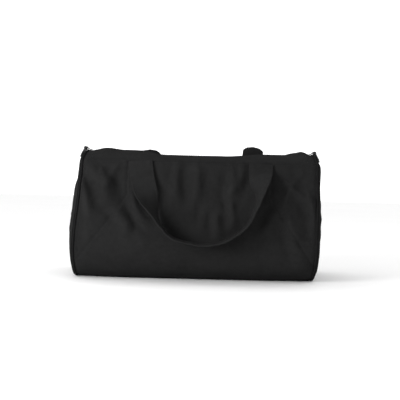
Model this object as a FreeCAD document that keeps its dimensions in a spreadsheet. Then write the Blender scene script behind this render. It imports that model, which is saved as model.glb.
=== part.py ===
import FreeCAD, Part
import math
import os

import Sketcher
from FreeCAD import Placement, Rotation, Vector

# A soft zip-top duffel bag, millimetres. +X runs along the bag, -Y is the front, +Z is up.
# The origin is the middle of the face that the bag stands on.

NODE_FOLDER = "parts"

doc = FreeCAD.newDocument("duffel_bag")
sheet = doc.addObject("Spreadsheet::Sheet", "Sheet")

DIMENSIONS = {
    # cross-section, seen from the end
    "bottom_half": 68,
    "corner_radius": 58,
    "seam_half": 110,
    "seam_height": 214,
    "crown_rise": 17,
    "fabric": 2,
    # along the bag
    "panel_half": 209.5,
    "piping_radius": 1.9,
    "piping_inset": 0.4,
    "piping_gap": 0.1,
    "dome_radius": 1000,
    "dome_apex": 228.6,
    "dome_centre_z": 92,
    "mouth_half": 193,
    "zip_gap": 0.5,
    # seams of the corner panels
    "handle_spread": 107,
    "corner_seam_x": 128.5,
    "corner_seam_z": 150,
    "corner_seam_foot": 28,
    # carry handles
    "strap_width": 43,
    "strap_thickness": 3.5,
    "strap_drop": 155,
    "strap_standoff": 1.6,
    "hinge_y": 117,
    "stub_inner": 113.2,
    "stub_outer": 115.8,
    "foot_inner": 114.6,
    "foot_outer": 116.5,
    "front_hinge_z": 212,
    "back_hinge_z": 239,
    # zip
    "flap_edge": 6,
    "tape_inner": 2.5,
    "tape_outer": 18,
    "tape_thickness": 0.8,
    "tape_z": 227.6,
    "coil_gap": 0.1,
    "coil_inner": 1,
    "coil_size": 2,
    "slider_length": 11,
    "slider_width": 9,
    "slider_plate": 1.5,
    "slider_park": 199.5,
    "slider_clearance": 0.3,
    "wedge_length": 3,
    "wedge_width": 1.2,
    "bridge_length": 8,
    "bridge_height": 3.4,
    "bridge_width": 1.6,
    "bridge_bar": 1.2,
    "puller_length": 25.7,
    "puller_width": 6,
    "puller_thickness": 1.4,
    "puller_lift": 0.4,
    "puller_eye_length": 4.8,
    "puller_eye_width": 2.8,
    # D-rings and their tabs
    "ring_wire": 1.6,
    "ring_radius": 13,
    "ring_leg": 6,
    "ring_bar_x": 218,
    "ring_bar_z": 236.5,
    "ring_tilt": 30,
    "tab_width": 20,
    "tab_layer": 1.7,
    "tab_gap": 0.5,
    "binding_width": 10,
}

for row, (alias, value) in enumerate(DIMENSIONS.items(), start=1):
    sheet.set(f"A{row}", alias)
    sheet.set(f"B{row}", str(value))
    sheet.setAlias(f"B{row}", alias)
doc.recompute()

nodes = []


def cell(alias):
    """Value of a driving dimension, for the shapes that are set in code."""
    return float(getattr(sheet, alias))


def formula(text):
    """An expression in which every driving dimension points at its cell."""
    words = text.replace("(", " ( ").replace(")", " ) ").split()
    return " ".join(f"Sheet.{word}" if word in DIMENSIONS else word for word in words)


def bind(feature, **properties):
    """Binds properties to expressions; a double underscore stands for a dot."""
    for name, text in properties.items():
        feature.setExpression(name.replace("__", "."), formula(str(text)))
    return feature


def node(feature, label):
    """Marks a finished feature as a sub-part; its label names its file."""
    feature.Label = label
    nodes.append(feature)
    return feature


def box(name, x, y, z):
    """A box between pairs of expressions along the three axes."""
    feature = doc.addObject("Part::Box", name)
    low = [pair[0] for pair in (x, y, z)]
    size = [f"( {pair[1]} ) - ( {pair[0]} )" for pair in (x, y, z)]
    bind(feature, Length=size[0], Width=size[1], Height=size[2])
    bind(feature, Placement__Base__x=low[0], Placement__Base__y=low[1], Placement__Base__z=low[2])
    return feature


def cylinder(name, direction, radius, length, base):
    """A cylinder along direction from base, which is three expressions."""
    feature = doc.addObject("Part::Cylinder", name)
    feature.Placement = Placement(Vector(), Rotation(Vector(0, 0, 1), direction))
    bind(feature, Radius=radius, Height=length)
    bind(feature, Placement__Base__x=base[0], Placement__Base__y=base[1], Placement__Base__z=base[2])
    return feature


def cut(name, base, tool):
    feature = doc.addObject("Part::Cut", name)
    feature.Base = base
    feature.Tool = tool
    return feature


def common(name, *shapes):
    feature = doc.addObject("Part::MultiCommon", name)
    feature.Shapes = list(shapes)
    return feature


def fuse(name, *shapes):
    feature = doc.addObject("Part::MultiFuse", name)
    feature.Shapes = list(shapes)
    return feature


# ---------------------------------------------------------------- cross-section

CROWN_RADIUS = "( seam_half * seam_half + crown_rise * crown_rise ) / ( 2 * crown_rise )"
CROWN_TOP = "seam_height + crown_rise"

# turns a sketch so that its x and y run along Y and Z
YZ_PLANE = Rotation(Vector(1, 1, 1), 120)


def outline_sketch():
    """Closed outline of the bag in the YZ plane: flat bottom, round lower corners, bulging
    sides that lean in to the top seams, and a low crown."""
    half = cell("bottom_half")
    corner = cell("corner_radius")
    seam_y = cell("seam_half")
    seam_z = cell("seam_height")
    crown_top = seam_z + cell("crown_rise")
    crown_radius = (seam_y**2 + cell("crown_rise") ** 2) / (2 * cell("crown_rise"))
    lean = half + corner - seam_y
    side_radius = (lean**2 + (seam_z - corner) ** 2) / (2 * lean)
    side_angle = math.asin((seam_z - corner) / side_radius)
    crown_angle = math.acos(seam_y / crown_radius)
    half_turn = math.pi

    def arc(y, z, radius, start, end):
        circle = Part.Circle(Vector(y, z, 0), Vector(0, 0, 1), radius)
        return Part.ArcOfCircle(circle, start, end)

    sketch = doc.addObject("Sketcher::SketchObject", "outline")
    sketch.Placement = Placement(Vector(), YZ_PLANE)
    bottom, back_corner, back_side, crown, front_side, front_corner = range(6)
    sketch.addGeometry(Part.LineSegment(Vector(-half, 0, 0), Vector(half, 0, 0)))
    sketch.addGeometry(arc(half, corner, corner, -half_turn / 2, 0))
    sketch.addGeometry(arc(half + corner - side_radius, corner, side_radius, 0, side_angle))
    crown_middle = crown_top - crown_radius
    sketch.addGeometry(arc(0, crown_middle, crown_radius, crown_angle, half_turn - crown_angle))
    front_middle = side_radius - half - corner
    sketch.addGeometry(arc(front_middle, corner, side_radius, half_turn - side_angle, half_turn))
    sketch.addGeometry(arc(-half, corner, corner, half_turn, 1.5 * half_turn))

    def constrain(*values):
        return sketch.addConstraint(Sketcher.Constraint(*values))

    constrain("Tangent", bottom, 2, back_corner, 1)
    constrain("Tangent", back_corner, 2, back_side, 1)
    constrain("Coincident", back_side, 2, crown, 1)
    constrain("Coincident", crown, 2, front_side, 1)
    constrain("Tangent", front_side, 2, front_corner, 1)
    constrain("Tangent", front_corner, 2, bottom, 1)
    constrain("PointOnObject", bottom, 1, -1)
    constrain("Symmetric", bottom, 1, bottom, 2, -2)
    constrain("Symmetric", crown, 1, crown, 2, -2)
    constrain("Horizontal", back_corner, 3, back_corner, 2)
    constrain("Horizontal", front_corner, 3, front_corner, 1)
    constrain("Equal", back_corner, front_corner)
    sizes = {
        constrain("DistanceX", bottom, 1, bottom, 2, 2 * half): "2 * bottom_half",
        constrain("Radius", back_corner, corner): "corner_radius",
        constrain("DistanceX", crown, 2, crown, 1, 2 * seam_y): "2 * seam_half",
        constrain("DistanceY", -1, 1, crown, 1, seam_z): "seam_height",
        constrain("Radius", crown, crown_radius): CROWN_RADIUS,
    }
    for index, text in sizes.items():
        sketch.setExpression(f"Constraints[{index}]", formula(text))
    return sketch


def inset_outline(name, sketch, depth):
    """The outline moved inwards by an expression."""
    feature = doc.addObject("Part::Offset2D", name)
    feature.Source = sketch
    feature.Join = "Intersection"
    bind(feature, Value=f"-1 * ( {depth} )")
    return feature


def prism(name, profile, start, end):
    """A solid from a YZ outline between two expressions along X."""
    feature = doc.addObject("Part::Extrusion", name)
    feature.Base = profile
    feature.DirMode = "Custom"
    feature.Dir = Vector(1, 0, 0)
    feature.Solid = True
    bind(feature, LengthFwd=end, LengthRev=f"-1 * ( {start} )")
    return feature


# ---------------------------------------------------------------- walls

FAR = "2 * seam_height"

outline = outline_sketch()
lining_line = inset_outline("lining_line", outline, "fabric")
outer_form = prism("outer_form", outline, "-1 * panel_half", "panel_half")
inner_form = prism("inner_form", lining_line, "-2 * panel_half", "2 * panel_half")
walls = cut("walls", outer_form, inner_form)


def corner_region(side):
    """Everything outside a corner seam, which drops from the top at the handle's outer edge
    and then slants to the lower corner of the end."""
    word = "right" if side > 0 else "left"
    seam = ("corner_seam_x", FAR) if side > 0 else (f"-1 * {FAR}", "-1 * corner_seam_x")
    upper = box(f"upper_{word}", seam, (f"-1 * {FAR}", FAR), ("corner_seam_z", FAR))
    lower = doc.addObject("Part::Wedge", f"lower_{word}")
    lower.Placement = Placement(Vector(), Rotation(Vector(1, 0, 0), 90))
    bind(lower, Ymin="corner_seam_foot", Ymax="corner_seam_z")
    bind(lower, Zmin=f"-1 * {FAR}", Z2min=f"-1 * {FAR}", Zmax=FAR, Z2max=FAR)
    if side > 0:
        bind(lower, Xmin="panel_half + fabric", X2min="corner_seam_x", Xmax=FAR, X2max=FAR)
    else:
        bind(lower, Xmin=f"-1 * {FAR}", X2min=f"-1 * {FAR}")
        bind(lower, Xmax="-1 * ( panel_half + fabric )", X2max="-1 * corner_seam_x")
    return fuse(f"corner_region_{word}", upper, lower)


def build_side_panels():
    """Front and back: a centre panel and two corner panels each, cut from the walls."""
    regions = {"left": corner_region(-1), "right": corner_region(1)}
    both_regions = fuse("corner_regions", *regions.values())
    spans = {
        "front": (f"-1 * {FAR}", "-1 * bottom_half"),
        "back": ("bottom_half", FAR),
    }
    for face, depth in spans.items():
        half = box(f"{face}_half", (f"-1 * {FAR}", FAR), depth, ("0", "front_hinge_z - zip_gap"))
        wall = common(f"{face}_wall", walls, half)
        node(cut(f"{face}_centre", wall, both_regions), f"{face}_panel")
        for word, region in regions.items():
            node(common(f"{face}_{word}", wall, region), f"{face}_corner_{word}")


def build_bottom():
    width = ("-1 * bottom_half", "bottom_half")
    floor = box("floor_zone", (f"-1 * {FAR}", FAR), width, ("0", "corner_radius"))
    node(common("bottom", walls, floor), "bottom_panel")


def build_ends():
    """A shallow domed cap closes each end, with a piping round its seam and a binding tape inside."""
    tape_outer = inset_outline("tape_outer", outline, "fabric + 0.2")
    tape_inner = inset_outline("tape_inner", outline, "fabric + 1.2")
    form = prism("end_form", outline, "-2 * panel_half", "2 * panel_half")
    for side, word in ((-1, "left"), (1, "right")):
        balls = []
        for layer, inset in (("outer", "0"), ("inner", "fabric")):
            ball = doc.addObject("Part::Sphere", f"dome_{layer}_{word}")
            bind(ball, Radius=f"dome_radius - {inset}")
            bind(ball, Placement__Base__x=f"{side} * ( dome_apex - dome_radius )")
            bind(ball, Placement__Base__z="dome_centre_z")
            balls.append(ball)
        rim = "panel_half + 2 * piping_radius + 2 * piping_gap"
        start = (rim, FAR) if side > 0 else (f"-1 * {FAR}", f"-1 * ( {rim} )")
        zone = box(f"dome_zone_{word}", start, (f"-1 * {FAR}", FAR), ("0", FAR))
        outside = common(f"dome_outside_{word}", form, balls[0], zone)
        inside = common(f"dome_inside_{word}", inner_form, balls[1])
        node(cut(f"dome_{word}", outside, inside), f"end_panel_{word}")

        ring = doc.addObject("Part::Circle", f"piping_section_{word}")
        ring.Placement = Placement(Vector(), Rotation(Vector(1, 1, 1), 240))
        middle = f"{side} * ( panel_half + piping_radius + piping_gap )"
        bind(ring, Radius="piping_radius")
        bind(ring, Placement__Base__x=middle, Placement__Base__z="piping_radius + piping_inset")
        path = doc.addObject("Part::Offset2D", f"piping_path_{word}")
        path.Source = outline
        path.Join = "Intersection"
        bind(path, Value="-1 * ( piping_radius + piping_inset )", Placement__Base__x=middle)
        doc.recompute()
        piping = doc.addObject("Part::Sweep", f"piping_{word}")
        piping.Sections = [ring]
        piping.Spine = (path, [f"Edge{index + 1}" for index in range(len(path.Shape.Edges))])
        piping.Solid = True
        piping.Transition = "Round corner"
        node(piping, f"end_piping_{word}")

        inner, outer = "panel_half - 0.5 - binding_width", "panel_half - 0.5"
        span = (inner, outer) if side > 0 else (f"-1 * ( {outer} )", f"-1 * ( {inner} )")
        sleeve = cut(
            f"binding_{word}",
            prism(f"binding_outer_{word}", tape_outer, *span),
            prism(f"binding_inner_{word}", tape_inner, f"-1 * {FAR}", FAR),
        )
        node(clear_of_slider(sleeve) if side > 0 else sleeve, f"end_binding_{word}")


def clear_of_slider(piece):
    """Room for the zip slider, which parks in the right end of the closed mouth."""
    span = ("mouth_half - zip_gap", "panel_half - 4")
    notch = box(f"{piece.Name}_notch", span, ("-1 * flap_edge", "flap_edge"), ("seam_height", FAR))
    return cut(f"{piece.Name}_notched", piece, notch)


# ---------------------------------------------------------------- mouth and zip


def build_mouth():
    """Two flaps that meet at the zip. Each turns about its own top seam."""
    flap_floor = "front_hinge_z + zip_gap / 4"
    edges = {
        "front": (f"-1 * {FAR}", "-1 * flap_edge"),
        "back": ("flap_edge", FAR),
    }
    for face, depth in edges.items():
        zone = box(f"flap_zone_{face}", ("-1 * mouth_half", "mouth_half"), depth, (flap_floor, FAR))
        node(common(f"flap_{face}", walls, zone), f"mouth_flap_{face}")

        def across(inner, outer):
            return (inner, outer) if face == "back" else (f"-1 * ( {outer} )", f"-1 * ( {inner} )")

        length = ("-1 * mouth_half", "mouth_half")
        tape_top = "tape_z + tape_thickness"
        tape = box(f"tape_{face}", length, across("tape_inner", "tape_outer"), ("tape_z", tape_top))
        node(tape, f"zip_tape_{face}")
        coil_span = across("coil_inner", "coil_inner + coil_size")
        coil_height = (f"{tape_top} + coil_gap", f"{tape_top} + coil_gap + coil_size")
        coil = box(f"coil_{face}", length, coil_span, coil_height)
        node(coil, f"zip_coil_{face}")

    for side, word in ((-1, "left"), (1, "right")):
        inner, outer = "mouth_half + zip_gap", "panel_half"
        span = (inner, outer) if side > 0 else (f"-1 * ( {outer} )", f"-1 * ( {inner} )")
        zone = box(f"strip_zone_{word}", span, (f"-1 * {FAR}", FAR), (flap_floor, FAR))
        strip = common(f"strip_{word}", walls, zone)
        node(clear_of_slider(strip) if side > 0 else strip, f"zip_end_{word}")


def build_slider():
    """Two plates joined by a thin wedge between the coils, with a bridge for the puller."""
    coil_top = "tape_z + tape_thickness + coil_gap + coil_size"
    deck = f"{coil_top} + slider_clearance + slider_plate"
    front_end = "slider_park + slider_length / 2"
    length = ("slider_park - slider_length / 2", front_end)
    width = ("-1 * slider_width / 2", "slider_width / 2")
    lower_top = "tape_z - slider_clearance"
    lower = box("slider_lower", length, width, (f"{lower_top} - slider_plate", lower_top))
    upper = box("slider_upper", length, width, (f"{coil_top} + slider_clearance", deck))
    # The wedge and the bridge sink 0.1 into the plates, so that they become one solid.
    wedge = box(
        "slider_wedge",
        (f"{front_end} - wedge_length", front_end),
        ("-1 * wedge_width / 2", "wedge_width / 2"),
        (f"{lower_top} - 0.1", f"{coil_top} + slider_clearance + 0.1"),
    )
    arch = box(
        "slider_arch",
        ("slider_park - bridge_length / 2", "slider_park + bridge_length / 2"),
        ("-1 * bridge_width / 2", "bridge_width / 2"),
        (f"{deck} - 0.1", f"{deck} + bridge_height"),
    )
    window_half = "bridge_length / 2 - bridge_bar"
    window = box(
        "arch_window",
        (f"slider_park - ( {window_half} )", f"slider_park + {window_half}"),
        ("-1 * bridge_width", "bridge_width"),
        (deck, f"{deck} + bridge_height - bridge_bar"),
    )
    node(fuse("slider_body", lower, wedge, upper, cut("slider_bridge", arch, window)), "zip_slider")

    # The puller lies on the slider and is threaded on the bridge, whose near post is in its eye.
    puller_end = "slider_park + 0.7"
    plate = box(
        "puller_plate",
        (f"{puller_end} - puller_length", puller_end),
        ("-1 * puller_width / 2", "puller_width / 2"),
        (f"{deck} + puller_lift", f"{deck} + puller_lift + puller_thickness"),
    )
    eye_end = f"{puller_end} - puller_thickness"
    eye = box(
        "puller_eye",
        (f"{eye_end} - puller_eye_length", eye_end),
        ("-1 * puller_eye_width / 2", "puller_eye_width / 2"),
        (deck, f"{deck} + 2 * puller_thickness"),
    )
    node(cut("puller_body", plate, eye), "zip_puller")


# ---------------------------------------------------------------- D-rings


def build_rings():
    """A webbing tab on each end of the top holds a D-ring that hangs over the end."""
    hole_radius = "ring_wire + tab_gap"
    across = ("-1 * tab_width / 2", "tab_width / 2")
    tail_bottom = f"{CROWN_TOP} + 0.3"
    along_y = Vector(0, 1, 0)
    for side, word in ((-1, "left"), (1, "right")):
        bar_x = f"{side} * ring_bar_x"
        inner, outer = "panel_half - 3.5", "ring_bar_x"
        span = (inner, outer) if side > 0 else (f"-1 * ( {outer} )", f"-1 * ( {inner} )")
        tail = box(f"tab_tail_{word}", span, across, (tail_bottom, f"{tail_bottom} + 2 * tab_layer"))
        loop_base = (bar_x, across[0], "ring_bar_z")
        loop_radius = f"{hole_radius} + tab_layer"
        loop = cylinder(f"tab_loop_{word}", along_y, loop_radius, "tab_width", loop_base)
        hole_base = (bar_x, "-1 * tab_width", "ring_bar_z")
        hole = cylinder(f"tab_hole_{word}", along_y, hole_radius, "2 * tab_width", hole_base)
        tab = cut(f"tab_{word}", fuse(f"tab_solid_{word}", tail, loop), hole)
        node(tab, f"d_ring_tab_{word}")

        ring = ring_solid(word)
        ring.Placement = Placement(Vector(), Rotation(Vector(0, 1, 0), -side * cell("ring_tilt")))
        bind(ring, Placement__Base__x=bar_x, Placement__Base__z="ring_bar_z")
        node(ring, f"d_ring_{word}")


def ring_solid(word):
    """A D-ring about its straight bar, which lies along Y through the origin; the bow hangs."""
    bar_base = ("0", "-1 * ring_radius", "0")
    parts = [cylinder(f"ring_bar_{word}", Vector(0, 1, 0), "ring_wire", "2 * ring_radius", bar_base)]
    for end, sign in (("front", -1), ("back", 1)):
        base = ("0", f"{sign} * ring_radius", "0")
        leg = cylinder(f"ring_leg_{word}_{end}", Vector(0, 0, -1), "ring_wire", "ring_leg", base)
        parts.append(leg)
        knuckle = doc.addObject("Part::Sphere", f"ring_knuckle_{word}_{end}")
        bind(knuckle, Radius="ring_wire", Placement__Base__y=f"{sign} * ring_radius")
        parts.append(knuckle)
    bow = doc.addObject("Part::Torus", f"ring_bow_{word}")
    half_circle_down = Rotation(Vector(0, -1, 0), Vector(0, 0, -1), Vector(1, 0, 0), "XYZ")
    bow.Placement = Placement(Vector(), half_circle_down)
    bow.Angle3 = 180
    bind(bow, Radius1="ring_radius", Radius2="ring_wire", Placement__Base__z="-1 * ring_leg")
    return fuse(f"ring_{word}", bow, *parts)


# ---------------------------------------------------------------- carry handles


def wall_y(height):
    """How far the side wall stands out from the middle of the bag at a height."""
    half = cell("bottom_half")
    corner = cell("corner_radius")
    lean = half + corner - cell("seam_half")
    radius = (lean**2 + (cell("seam_height") - corner) ** 2) / (2 * lean)
    rise = max(height - corner, 0)
    return half + corner - radius + math.sqrt(radius**2 - rise**2)


def smooth(value, start, end):
    share = min(max((value - start) / (end - start), 0), 1)
    return share * share * (3 - 2 * share)


def handle_solid(face, top):
    """A flat strap bent into a U. Its legs lie face-on to the wall; towards the grip it turns
    a quarter, so the grip stands out from the wall on its edge."""
    steps = 24
    spread = cell("handle_spread")
    drop = cell("strap_drop")
    half_width = cell("strap_width") / 2
    half_thickness = cell("strap_thickness") / 2
    outward = Vector(0, face, 0)
    sections = []
    for step in range(steps + 1):
        turn = math.pi * step / steps
        point = Vector(-spread * math.cos(turn), 0, top - 0.5 - drop * math.sin(turn))
        along = Vector(spread * math.sin(turn), 0, -drop * math.cos(turn)).normalize()
        share = min(turn, math.pi - turn) / (math.pi / 2)
        twist = smooth(share, 0.3, 0.75) * math.pi / 2
        across = along.cross(outward) * math.cos(twist) + outward * math.sin(twist)
        face_normal = along.cross(across)
        reach = half_width * math.sin(twist) + half_thickness * math.cos(twist)
        reach += cell("strap_standoff")
        rest_y = max(wall_y(point.z) + reach, cell("hinge_y") + half_thickness + 0.25)
        point += outward * rest_y
        corners = [
            point + across * half_width * a + face_normal * half_thickness * b
            for a, b in ((-1, -1), (1, -1), (1, 1), (-1, 1))
        ]
        sections.append(Part.makePolygon(corners + corners[:1]))
    return Part.makeLoft(sections, True, True)


def build_handles():
    for word, face, top in (("front", -1, "front_hinge_z"), ("back", 1, "back_hinge_z")):
        handle = doc.addObject("Part::Feature", f"handle_{word}_strap")
        handle.Shape = handle_solid(face, cell(top))
        node(handle, f"handle_{word}")

    # The back handle's sewn ends stand up from the top seam as far as its hinge.
    stubs = []
    for side, word in ((-1, "left"), (1, "right")):
        middle = f"{side} * handle_spread"
        span = (f"{middle} - strap_width / 2", f"{middle} + strap_width / 2")
        foot_z = ("front_hinge_z - 20", "front_hinge_z - 6")
        upright_z = ("front_hinge_z - 8", "back_hinge_z - 0.5")
        foot = box(f"foot_{word}", span, ("foot_inner", "foot_outer"), foot_z)
        upright = box(f"upright_{word}", span, ("stub_inner", "stub_outer"), upright_z)
        stubs.append(fuse(f"stub_{word}", foot, upright))
    both = doc.addObject("Part::Compound", "handle_stubs")
    both.Links = stubs
    node(both, "handle_back_ends")


def check_and_export():
    """Stops on a failed feature or a bad solid, then writes one file for each sub-part."""
    doc.recompute()
    for feature in doc.Objects:
        if {"Invalid", "Error"} & set(feature.State):
            raise RuntimeError(f"{feature.Name} failed: {feature.State}")
    for feature in nodes:
        if feature.Shape.isNull() or not feature.Shape.isValid():
            raise RuntimeError(f"{feature.Label} has no valid shape")
    os.makedirs(NODE_FOLDER, exist_ok=True)
    for feature in nodes:
        solids = len(feature.Shape.Solids)
        print(f"{feature.Label}: {solids} solid(s), {feature.Shape.Volume / 1000:.2f} cm3")
        feature.Shape.exportStep(f"{NODE_FOLDER}/{feature.Label}.step")


build_bottom()
build_side_panels()
build_ends()
build_mouth()
build_slider()
build_rings()
build_handles()
check_and_export()
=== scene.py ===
import itertools
import math

import bmesh
import bpy
import numpy as np
from mathutils import Matrix, Vector


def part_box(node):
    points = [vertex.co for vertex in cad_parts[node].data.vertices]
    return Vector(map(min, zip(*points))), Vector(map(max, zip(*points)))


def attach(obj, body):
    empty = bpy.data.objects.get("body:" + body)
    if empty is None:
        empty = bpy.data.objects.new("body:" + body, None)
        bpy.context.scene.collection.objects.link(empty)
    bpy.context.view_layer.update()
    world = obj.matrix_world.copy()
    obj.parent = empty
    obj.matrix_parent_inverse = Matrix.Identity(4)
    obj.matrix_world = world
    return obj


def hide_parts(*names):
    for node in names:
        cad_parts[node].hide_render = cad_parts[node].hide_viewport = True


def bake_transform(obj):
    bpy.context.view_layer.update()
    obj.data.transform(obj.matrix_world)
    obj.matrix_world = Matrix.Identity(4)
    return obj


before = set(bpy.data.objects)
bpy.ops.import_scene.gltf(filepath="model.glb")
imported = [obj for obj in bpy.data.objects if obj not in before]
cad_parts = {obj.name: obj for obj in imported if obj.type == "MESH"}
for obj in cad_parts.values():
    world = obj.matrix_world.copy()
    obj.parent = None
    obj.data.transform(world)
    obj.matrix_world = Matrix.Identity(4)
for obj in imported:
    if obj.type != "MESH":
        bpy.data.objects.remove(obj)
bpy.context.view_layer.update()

# A soft black duffel bag. Every length is in metres; MM keeps the small ones readable.
MM = 0.001

# ---------------- sizes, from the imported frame

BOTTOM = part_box("bottom_panel")
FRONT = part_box("front_panel")
TOP_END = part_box("zip_end_left")
HALF_LENGTH = BOTTOM[1].x
BOTTOM_HALF = BOTTOM[1].y
CORNER_RADIUS = -FRONT[0].y - BOTTOM_HALF
SEAM_Z = FRONT[1].z + 2.5 * MM
SEAM_HALF = 110 * MM
CROWN_TOP = TOP_END[1].z
CROWN_RISE = CROWN_TOP - SEAM_Z
MOUTH_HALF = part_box("mouth_flap_front")[1].x
FLAP_EDGE = -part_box("mouth_flap_front")[1].y
CORNER_SEAM_X = -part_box("front_corner_left")[1].x

LEAN = BOTTOM_HALF + CORNER_RADIUS - SEAM_HALF
SIDE_RADIUS = (LEAN**2 + (SEAM_Z - CORNER_RADIUS) ** 2) / (2 * LEAN)
CROWN_RADIUS = (SEAM_HALF**2 + CROWN_RISE**2) / (2 * CROWN_RISE)
CORNER_LENGTH = CORNER_RADIUS * math.pi / 2
WALL_LENGTH = CORNER_LENGTH + SIDE_RADIUS * math.asin((SEAM_Z - CORNER_RADIUS) / SIDE_RADIUS)

CLOTH = 1.3 * MM
PIPING = 2.1 * MM
PIPING_SIDES = 12


def smooth(value, start, end):
    """0 before start, 1 after end, and a soft step between them."""
    share = np.clip((value - start) / (end - start), 0, 1)
    return share * share * (3 - 2 * share)


def ripple(along, seed):
    """Smooth repeatable noise from -1 to 1 along a line, for numpy arrays."""
    return (
        np.sin(along * 1.00 + seed * 1.7)
        + np.sin(along * 1.73 + seed * 2.9) * 0.7
        + np.sin(along * 2.91 + seed * 0.6) * 0.5
    ) / 2.2


def bumps(u, v, seed):
    """Smooth repeatable noise from -1 to 1 over a surface."""
    return (
        ripple(u + 1.3 * np.sin(v * 0.8 + seed), seed)
        + ripple(v + 1.1 * np.sin(u * 0.7 - seed), seed + 3)
    ) / 2


# ---------------- the bag's skin
# A wall is measured by x along the bag and s up the cloth from the bottom panel's edge.
# face is -1 at the front and 1 at the back.


def wall_section(s):
    """Outline of a wall at s: distance from the middle, height and outward normal."""
    turn = np.clip(s / CORNER_RADIUS, 0, math.pi / 2)
    rise = np.maximum(s - CORNER_LENGTH, 0) / SIDE_RADIUS
    low = s < CORNER_LENGTH
    reach = BOTTOM_HALF + CORNER_RADIUS
    corner_y = BOTTOM_HALF + CORNER_RADIUS * np.sin(turn)
    corner_z = CORNER_RADIUS * (1 - np.cos(turn))
    y = np.where(low, corner_y, reach - SIDE_RADIUS * (1 - np.cos(rise)))
    z = np.where(low, corner_z, CORNER_RADIUS + SIDE_RADIUS * np.sin(rise))
    normal_y = np.where(low, np.sin(turn), np.cos(rise))
    normal_z = np.where(low, -np.cos(turn), np.sin(rise))
    return y, z, normal_y, normal_z


def s_at(z):
    """Cloth length up a wall to a height."""
    if z < CORNER_RADIUS:
        return CORNER_RADIUS * math.acos(1 - z / CORNER_RADIUS)
    return CORNER_LENGTH + SIDE_RADIUS * math.asin((z - CORNER_RADIUS) / SIDE_RADIUS)


# Where a corner panel's seam turns outwards, and where it meets the end.
SEAM_BEND = s_at(150 * MM)
SEAM_FOOT = s_at(28 * MM)
SEAM_SLANT = np.array((HALF_LENGTH - CORNER_SEAM_X, SEAM_FOOT - SEAM_BEND))
SEAM_SLANT /= math.hypot(*SEAM_SLANT)

# The top seam is hardly pulled in; the other seams are pulled in fully.
TOP_SEAM_DEPTH = 0.35

CREST_SCALE = 1.05
GROOVE_SCALE = 0.78

# Folds of the front wall, millimetres: x and height at both ends, half width, and how far
# the crest stands out; a negative one is a groove.
FRONT_FOLDS = [
    # left corner panel, pulled between the handle and the end seam
    (-209, 178, -190, 116, 8, 9),
    (-200, 204, -160, 142, 13, 13),
    (-186, 168, -172, 120, 9, -5),
    (-176, 200, -158, 168, 6, 6),
    (-145, 206, -160, 168, 6, 5),
    (-152, 184, -132, 140, 11, -6),
    (-207, 150, -205, 40, 8, -5),
    (-168, 128, -148, 100, 8, -4),
    (-196, 110, -186, 60, 9, 3),
    # below the left end of the handle
    (-118, 152, -92, 98, 8, 6),
    (-131, 136, -98, 76, 8, -6),
    (-146, 122, -120, 84, 10, 6),
    (-108, 92, -92, 64, 8, 3),
    # between the handle's legs, hanging from the top seam
    (-22, 228, -20, 136, 11, -7),
    (-39, 222, -36, 146, 8, 5),
    (-4, 222, -9, 134, 9, 6),
    (-2, 140, -4, 100, 7, -3),
    (-52, 222, -47, 170, 8, -3),
    (20, 228, 14, 160, 11, -2.5),
    (46, 196, 44, 142, 9, -4.5),
    (58, 206, 54, 146, 7, 5),
    (44, 146, 50, 98, 8, -5),
    (58, 142, 62, 96, 8, 5),
    (20, 122, 26, 78, 7, -4),
    (32, 118, 37, 76, 8, 4),
    (78, 220, 62, 160, 8, 5),
    (88, 206, 76, 146, 7, -3),
    # right corner panel
    (148, 186, 206, 140, 6, 4.5),
    (184, 196, 150, 130, 6, 4.5),
    (166, 210, 182, 172, 9, -5),
    (176, 150, 200, 74, 11, -6),
    (196, 160, 206, 84, 7, 6),
    (160, 120, 182, 66, 10, 4),
    (150, 100, 172, 40, 9, -3.5),
    (166, 52, 203, 26, 8, 3.5),
    (176, 74, 206, 54, 7, -3),
    (142, 132, 116, 88, 9, 5),
    (126, 138, 104, 84, 8, -3),
]


def folds(x, s, face):
    """How far the folds lift the cloth. The back has the front's folds, mirrored and weaker."""
    lift = np.zeros_like(x)
    for index, (x0, z0, x1, z1, half_width, height) in enumerate(FRONT_FOLDS):
        if face > 0:
            x0, x1 = -x0, -x1
            height *= 0.55 + 0.35 * math.sin(index * 2.1)
        start = np.array((x0 * MM, s_at(min(z0 * MM, SEAM_Z - MM))))
        end = np.array((x1 * MM, s_at(min(z1 * MM, SEAM_Z - MM))))
        span = end - start
        length = math.hypot(*span)
        along = ((x - start[0]) * span[0] + (s - start[1]) * span[1]) / length
        bow = 0.08 * length * math.sin(index * 1.3)
        across = ((x - start[0]) * span[1] - (s - start[1]) * span[0]) / length
        across = across + bow * np.sin(np.clip(along / length, 0, 1) * math.pi)
        share = np.clip(along / length, -0.25, 1.25)
        fade = smooth(share, -0.2, 0.2) * (1 - smooth(share, 0.65, 1.2))
        width = half_width * MM * (0.8 + 0.5 * np.clip(share, 0, 1))
        scale = CREST_SCALE if height > 0 else GROOVE_SCALE
        lift += scale * height * MM * fade * np.exp(-((across / width) ** 2))
    return lift


def corner_seam_distance(x, s):
    """Distance to the seam of the nearer corner panel; positive on the corner's side."""
    beyond = np.abs(x) - CORNER_SEAM_X
    slanted = (s - SEAM_BEND) * SEAM_SLANT[0] - beyond * SEAM_SLANT[1]
    return np.minimum(slanted, beyond)


def seam_dip(distance, seed, along):
    """A seam pulls the cloth in and puckers it beside itself."""
    distance = np.abs(distance)
    pucker = ripple(along / (4.2 * MM), seed) * np.exp(-distance / (9 * MM)) * (distance > 0)
    dip = np.exp(-((distance / (3.2 * MM)) ** 2))
    return 0.45 * MM * pucker - 1.5 * MM * dip


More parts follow.
